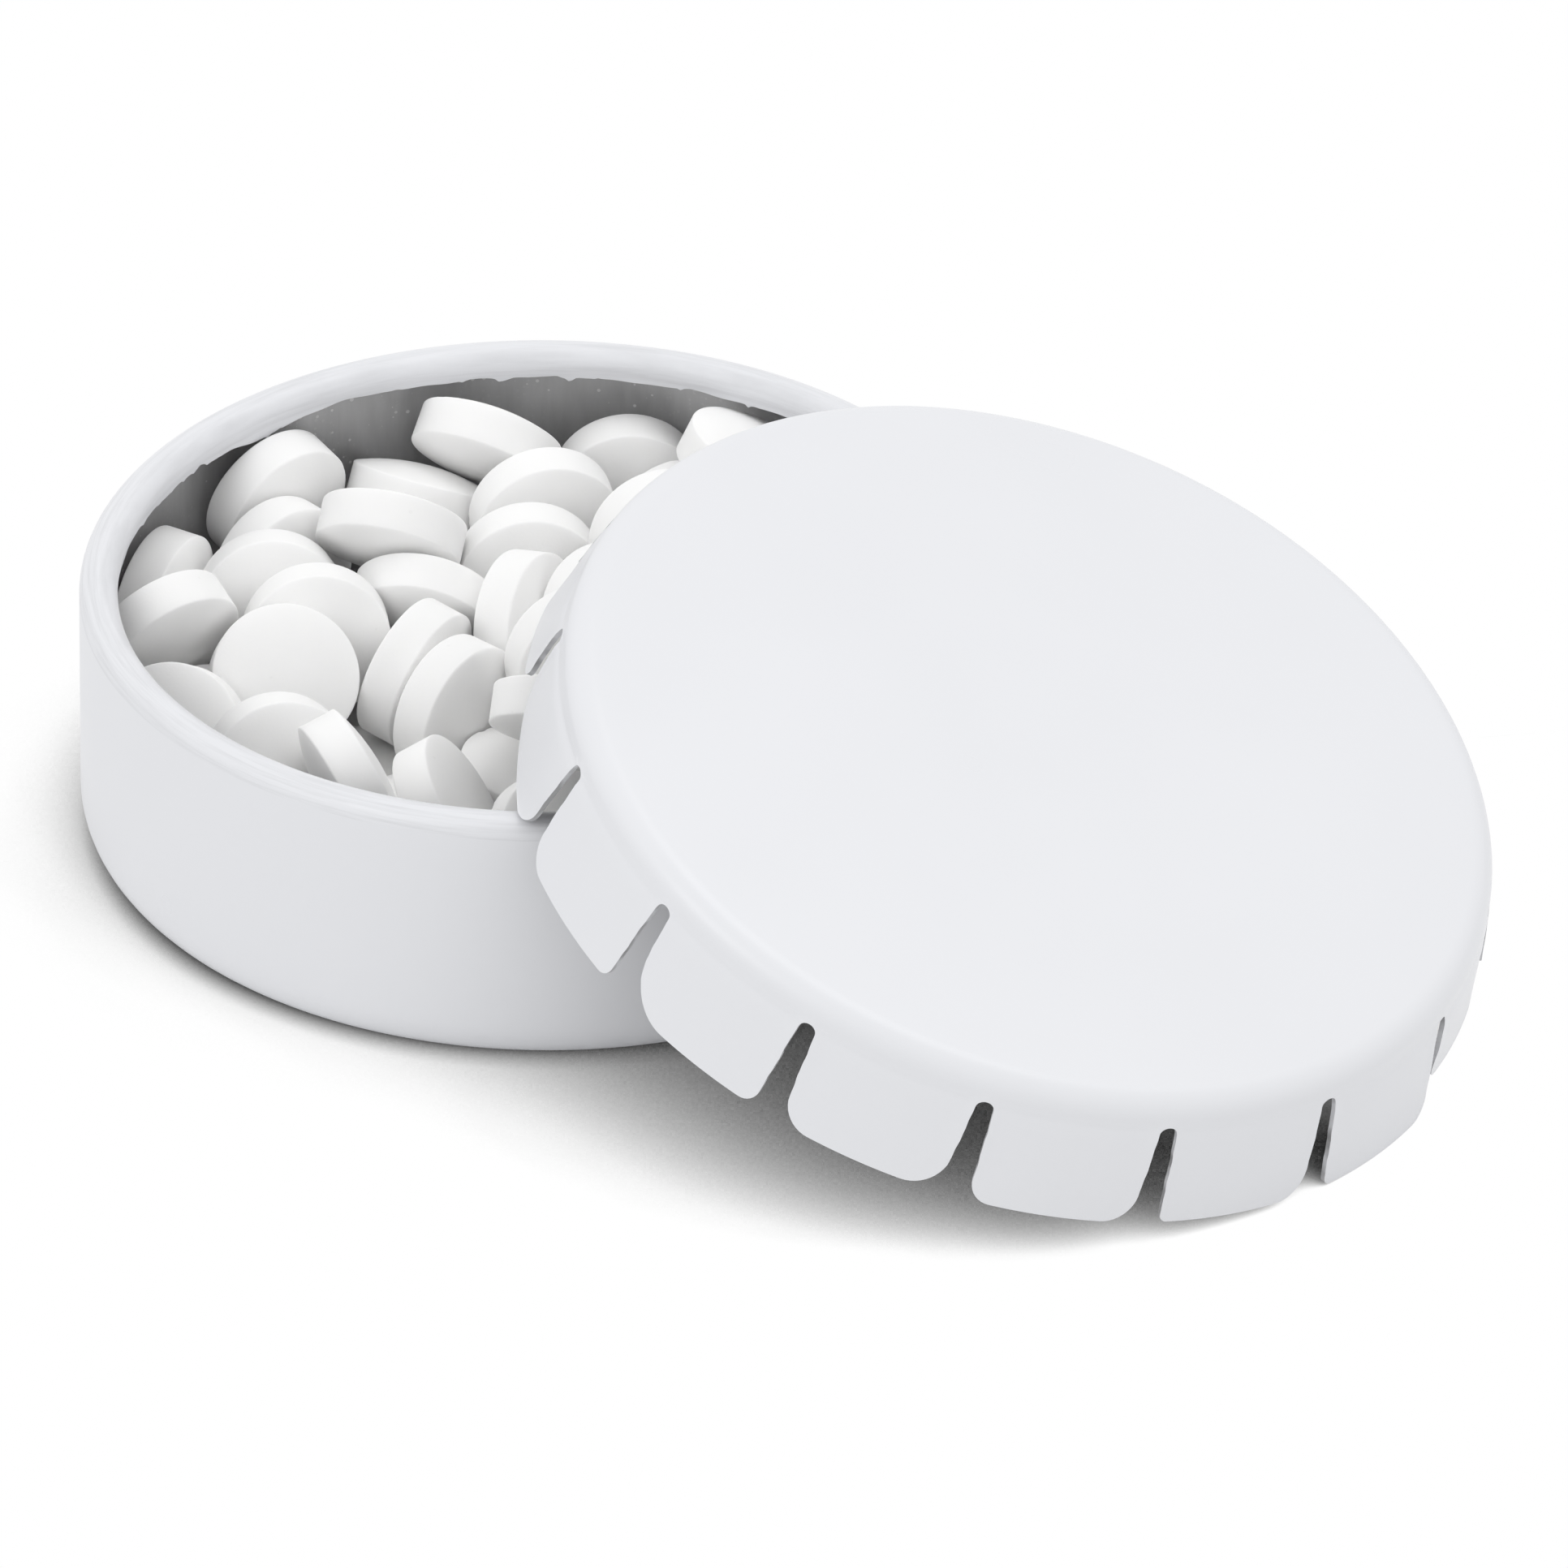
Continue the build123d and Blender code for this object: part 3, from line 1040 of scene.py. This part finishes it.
def lid_skin(sizes):
    """Outer face of the lid, in the lid's own frame: rows of points for each tab and its sector."""
    panel_edge = sizes.radius - sizes.corner
    crown_radius = (panel_edge**2 + sizes.crown**2) / (2 * sizes.crown)
    profile = []
    for share in PANEL_RINGS:
        reach = panel_edge * share
        profile.append((reach, sizes.crown - crown_radius + math.sqrt(crown_radius**2 - reach**2)))
    for step in range(1, SHOULDER_STEPS):
        angle = math.pi / 2 * (1 - step / SHOULDER_STEPS)
        reach = panel_edge + sizes.corner * math.cos(angle)
        profile.append((reach, sizes.corner * (math.sin(angle) - 1)))
    shares = (1 - np.cos(np.linspace(0, math.pi, TAB_COLUMNS))) / 2
    pitch = 2 * math.pi / sizes.tabs
    depths = skirt_depths(sizes)
    draw = random.Random(TAB_SEED)
    tabs = []
    for tab in range(sizes.tabs):
        usual = [draw.uniform(*USUAL_CORNERS) for _ in range(2)]
        corners = [sizes.tab_corner * share for share in TAB_CORNERS.get(tab, usual)]
        phases = [draw.uniform(0, 2 * math.pi) for _ in range(4)]
        turns = sizes.slot_turn + (tab + shares) * pitch
        rows = [ring(reach, turns, height) for reach, height in profile]
        for depth in depths:
            sides = slot_sides(depth, sizes, corners, phases)
            rows.append(skirt_row(tab, depth, shares, sizes, sides))
        tabs.append(rows)
    return tabs


class MINTTIN_OT_lid(bpy.types.Operator):
    """Builds the pressed lid with its slotted, flared skirt"""

    bl_idname = "minttin.lid"
    bl_label = "Build Lid"

    def execute(self, context):
        sizes = context.scene.lid_sizes
        sheet_sizes = context.scene.tin_sheet_sizes
        origin, downhill, across, up = lid_plane()
        turn_to_place = np.stack([downhill, across, up])
        points = []
        faces = []
        first_rows = []
        for rows in lid_skin(sizes):
            start = len(points)
            columns = len(rows[0])
            first_rows += list(range(start, start + columns - 1))
            points.extend(np.concatenate(rows) @ turn_to_place + origin)
            for face in grid_faces(len(rows), columns, False):
                faces.append(tuple(start + corner for corner in reversed(face)))
        faces.append(tuple(first_rows))
        piece = new_mesh_object("lid_shell", points, faces)
        for name in ("white_lacquer", "bare_tinplate", "sheared_edge"):
            piece.data.materials.append(finish(name))
        weld(piece, LID_WELD)
        piece.data.polygons.foreach_set("use_smooth", [True] * len(piece.data.polygons))
        thicken(piece, sheet_sizes.sheet, sheet_sizes.edge_round)
        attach(piece, "lid")
        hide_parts("lid")
        return {"FINISHED"}


# The mints

# A level direction that no mint's axis has: a mint's own turn is counted from it.
LEVEL_GUIDE = (0.8, 0.6, 0.0)
FACE_RINGS = (0.02, 0.15, 0.3, 0.45, 0.6, 0.72, 0.82, 0.9, 0.96, 1.0)
EDGE_STEPS = 5
# Shares of the edge's radius that set how far below the dome its rounding meets the side.
EDGE_DROP, EDGE_END = 0.9, 0.3
SIDE_RINGS = (0.6, 0.2)
FIRST_MINT_SEED = 100
CHIP_COUNTS = (0, 1, 1, 2, 3)
CHIP_SIZES = (0.3, 1.0)
# How far a chip's ball stands out past the side and above the band, in its own radii.
CHIP_OUT, CHIP_UP = 0.55, 0.45
CHIP_DEPTH = 0.7


def mint_profile(sizes):
    """Half outline of a mint from the middle of its top to the middle of its underside."""
    dome_radius = (sizes.radius**2 + sizes.dome**2) / (2 * sizes.dome)
    dome_centre = sizes.band / 2 + sizes.dome - dome_radius
    edge_start = sizes.radius - sizes.edge
    upper = []
    for share in FACE_RINGS:
        reach = edge_start * share
        upper.append((reach, dome_centre + math.sqrt(dome_radius**2 - reach**2)))
    steepness = math.asin(edge_start / dome_radius)
    start = np.array(upper[-1])
    tip = np.array([sizes.radius, start[1] - sizes.edge * math.tan(steepness)])
    drop = sizes.edge * (EDGE_DROP * math.cos(steepness) + EDGE_END)
    end = np.array([sizes.radius, start[1] - drop])
    for step in range(1, EDGE_STEPS + 1):
        share = step / EDGE_STEPS
        point = (1 - share) ** 2 * start + 2 * share * (1 - share) * tip + share**2 * end
        upper.append(tuple(point))
    upper += [(sizes.radius, end[1] * share) for share in SIDE_RINGS]
    lower = [(reach, -height) for reach, height in reversed(upper)]
    return upper + lower


def mint_shape(sizes, seed):
    """Points of one mint about the origin, its axis along Z, with its own small chips."""
    draw = random.Random(seed)
    turns = np.linspace(0, 2 * math.pi, sizes.segments, endpoint=False)
    points = np.concatenate([ring(reach, turns, height) for reach, height in mint_profile(sizes)])
    for _ in range(draw.choice(CHIP_COUNTS)):
        turn = draw.uniform(0, 2 * math.pi)
        side = draw.choice((-1, 1))
        chip = sizes.chip * draw.uniform(*CHIP_SIZES)
        reach = sizes.radius + CHIP_OUT * chip
        height = side * (sizes.band / 2 + CHIP_UP * chip)
        centre = np.array([reach * math.cos(turn), reach * math.sin(turn), height])
        away = points - centre
        distance = np.linalg.norm(away, axis=1)
        inside = distance < chip
        pushed = centre + away[inside] / distance[inside, None] * chip
        points[inside] = pushed * CHIP_DEPTH + points[inside] * (1 - CHIP_DEPTH)
    return points


def place_mint(mint_points, middle, axis, turn):
    """Turns a mint's points to its solid's axis and moves them to its middle."""
    level = np.cross(axis, LEVEL_GUIDE)
    level /= np.linalg.norm(level)
    side = level * math.cos(turn) + np.cross(axis, level) * math.sin(turn)
    return mint_points @ np.stack([side, np.cross(axis, side), axis]) + middle


def mint_faces(sizes, row_count):
    """Faces of one mint: its rows, and a cap on each face."""
    columns = sizes.segments
    faces = [tuple(reversed(face)) for face in grid_faces(row_count, columns, True)]
    faces.append(tuple(range(columns)))
    last = (row_count - 1) * columns
    faces.append(tuple(reversed(range(last, last + columns))))
    return faces


class MINTTIN_OT_mints(bpy.types.Operator):
    """Builds every mint where its solid lies"""

    bl_idname = "minttin.mints"
    bl_label = "Build Mints"

    def execute(self, context):
        sizes = context.scene.mint_sizes
        bodies = frame["record"]["behaviour"]["bodies"]
        body_of = {node: body for body, nodes in bodies.items() for node in nodes}
        row_count = len(mint_profile(sizes))
        faces = mint_faces(sizes, row_count)
        seed = FIRST_MINT_SEED
        for node in sorted(frame["nodes"]):
            if node == "floor_mints":
                solids = solid_islands(node)
            elif node.startswith("mint_"):
                solids = [node_points(node)]
            else:
                continue
            points = []
            all_faces = []
            for solid_points, triangles in solids:
                seed += 1
                middle, axis = node_frame(solid_points, triangles)
                turn = random.Random(seed).uniform(0, 2 * math.pi)
                start = len(points)
                points.extend(place_mint(mint_shape(sizes, seed), middle, axis, turn))
                all_faces += [tuple(start + corner for corner in face) for face in faces]
            piece = new_mesh_object(node + "_tablet", points, all_faces)
            piece.data.materials.append(finish("pressed_mint"))
            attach(piece, body_of[node])
            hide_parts(node)
        return {"FINISHED"}


# The stage

# What the lamps are turned to, and each lamp's name, setting, place as the camera sees it and size.
LAMP_AIM = Vector((0.012, 0.0, 0.008))
LAMPS = (
    ("top_softbox", "key", (0.18, 0.10, 0.64), 0.45),
    ("left_softbox", "fill", (-0.50, -0.40, 0.48), 0.4),
)
SQUARE = ((-1, -1), (1, -1), (1, 1), (-1, 1))
TABLE_HALF = 1.5
TABLE_DROP = 0.02 * MM
SHADE_SAMPLES = 16
SENSOR_WIDTH = 36.0
CLIP_START, CLIP_END = 0.01, 10.0
WHITE = (1.0, 1.0, 1.0, 1.0)


def add_round_light(name, place, size, power):
    """A round soft lamp of this power at this place, turned to the tin."""
    lamp = bpy.data.lights.new(name, "AREA")
    lamp.shape = "DISK"
    lamp.size = size
    lamp.energy = power
    light = bpy.data.objects.new(name, lamp)
    light.location = place
    light.rotation_mode = "QUATERNION"
    light.rotation_quaternion = (LAMP_AIM - place).to_track_quat("-Z", "Y")
    bpy.context.scene.collection.objects.link(light)


def seen_directly(wiring):
    """One for camera, glossy and transmission rays, and nothing for the rest."""
    path = wiring.add("ShaderNodeLightPath")
    seen = wiring.math("MAXIMUM", path.outputs["Is Camera Ray"], path.outputs["Is Glossy Ray"])
    return wiring.math("MAXIMUM", seen, path.outputs["Is Transmission Ray"])


def floor_material(settings, tones):
    """White table. Seen directly it glows white with a painted shadow: the glow is darker where
    pieces hide the half of the sky about a leaning direction, and no lamp casts it.
    """
    material = bpy.data.materials.new("white_table")
    material.use_nodes = True
    tree = material.node_tree
    tree.nodes.remove(tree.nodes["Principled BSDF"])
    wiring = Wiring(tree)
    lit = wiring.add("ShaderNodeBsdfDiffuse", {"Color": colour(tones.floor)})
    lean, turn = settings.painted_shadow_lean, settings.azimuth + settings.painted_shadow_turn
    towards_light = wiring.add(
        "ShaderNodeCombineXYZ",
        {
            "X": math.sin(lean) * math.cos(turn),
            "Y": math.sin(lean) * math.sin(turn),
            "Z": math.cos(lean),
        },
    )
    # Painted shadow: the open share of the sky about the leaning direction sets the strength of the
    # table's glow, so the shade is painted into the glow rather than cast by the lamps.
    open_sky = wiring.add(
        "ShaderNodeAmbientOcclusion",
        {"Distance": settings.painted_shadow_reach, "Normal": towards_light.outputs[0]},
        samples=SHADE_SAMPLES,
    )
    painted_shadow = wiring.between(open_sky.outputs["AO"], settings.painted_shadow_black, settings.painted_shadow_white)
    seen = wiring.add("ShaderNodeEmission", {"Color": WHITE, "Strength": painted_shadow})
    either = wiring.add("ShaderNodeMixShader")
    wiring.put(seen_directly(wiring), either.inputs[0])
    wiring.put(lit.outputs[0], either.inputs[1])
    wiring.put(seen.outputs[0], either.inputs[2])
    wiring.put(either.outputs[0], tree.nodes["Material Output"].inputs["Surface"])
    return material


class MINTTIN_OT_stage(bpy.types.Operator):
    """Sets the white floor, the light and the camera"""

    bl_idname = "minttin.stage"
    bl_label = "Set Stage"

    def execute(self, context):
        scene = context.scene
        settings = scene.stage_settings
        corners = [(x * TABLE_HALF, y * TABLE_HALF, 0) for x, y in SQUARE]
        floor = new_mesh_object("table_top", corners, [(0, 1, 2, 3)], smooth=False)
        floor.location.z = -TABLE_DROP
        floor.data.materials.append(floor_material(settings, scene.finish_colours))

        world = bpy.data.worlds.new("even_light")
        world.use_nodes = True
        scene.world = world
        wiring = Wiring(world.node_tree)
        seen = seen_directly(wiring)
        shown = wiring.math("MULTIPLY", seen, 1.0 - settings.sky)
        strength = wiring.math("ADD", shown, settings.sky)
        background = world.node_tree.nodes["Background"]
        background.inputs["Color"].default_value = WHITE
        wiring.put(strength, background.inputs["Strength"])

        view = Matrix.Rotation(settings.azimuth, 3, "Z")
        for name, power, place, size in LAMPS:
            lamp_place = LAMP_AIM + view @ Vector(place)
            add_round_light(name, lamp_place, size, getattr(settings, power))

        camera_data = bpy.data.cameras.new("camera")
        camera_data.lens = settings.lens
        camera_data.sensor_width = SENSOR_WIDTH
        camera_data.clip_start = settings.distance * CLIP_START
        camera_data.clip_end = settings.distance * CLIP_END
        camera = bpy.data.objects.new("camera", camera_data)
        scene.collection.objects.link(camera)
        flat = settings.distance * math.cos(settings.elevation)
        place = Vector(
            (
                flat * math.sin(settings.azimuth),
                -flat * math.cos(settings.azimuth),
                settings.distance * math.sin(settings.elevation),
            )
        )
        ahead = (Vector(settings.target) - place).normalized()
        right = ahead.cross(Vector((0, 0, 1))).normalized()
        above = right.cross(ahead)
        cosine, sine = math.cos(settings.roll), math.sin(settings.roll)
        rolled_right = right * cosine + above * sine
        rolled_above = above * cosine - right * sine
        turn = Matrix((rolled_right, rolled_above, -ahead)).transposed()
        camera.matrix_world = Matrix.Translation(place) @ turn.to_4x4()
        scene.camera = camera
        scene.view_settings.view_transform = "Standard"
        return {"FINISHED"}


class MINTTIN_PT_panel(bpy.types.Panel):
    """Lists the pieces of the mint tin and their sizes"""

    bl_idname = "MINTTIN_PT_panel"
    bl_label = "Mint Tin"
    bl_space_type = "VIEW_3D"
    bl_region_type = "UI"
    bl_category = "Mint Tin"

    def draw(self, context):
        for operator in OPERATORS:
            self.layout.operator(operator.bl_idname)
        for name, group_class in GROUPS.items():
            box = self.layout.box()
            for entry in group_class.__annotations__:
                box.prop(getattr(context.scene, name), entry)


GROUPS = {
    "tin_sheet_sizes": TinSheetSizes,
    "lid_sizes": LidSizes,
    "mint_sizes": MintSizes,
    "finish_colours": FinishColours,
    "stage_settings": StageSettings,
}
OPERATORS = (MINTTIN_OT_base, MINTTIN_OT_lid, MINTTIN_OT_mints, MINTTIN_OT_stage)


def register():
    """Registers the classes and gives the scene its settings."""
    for group in GROUPS.values():
        bpy.utils.register_class(group)
    for name, group in GROUPS.items():
        setattr(bpy.types.Scene, name, PointerProperty(type=group))
    for operator in OPERATORS:
        bpy.utils.register_class(operator)
    bpy.utils.register_class(MINTTIN_PT_panel)


def unregister():
    """Takes the classes and settings away again."""
    bpy.utils.unregister_class(MINTTIN_PT_panel)
    for operator in reversed(OPERATORS):
        bpy.utils.unregister_class(operator)
    for name in GROUPS:
        delattr(bpy.types.Scene, name)
    for group in reversed(list(GROUPS.values())):
        bpy.utils.unregister_class(group)


def main():
    """Builds every piece in order."""
    register()
    bpy.ops.minttin.base()
    bpy.ops.minttin.lid()
    bpy.ops.minttin.mints()
    bpy.ops.minttin.stage()


if __name__ == "__main__":
    main()
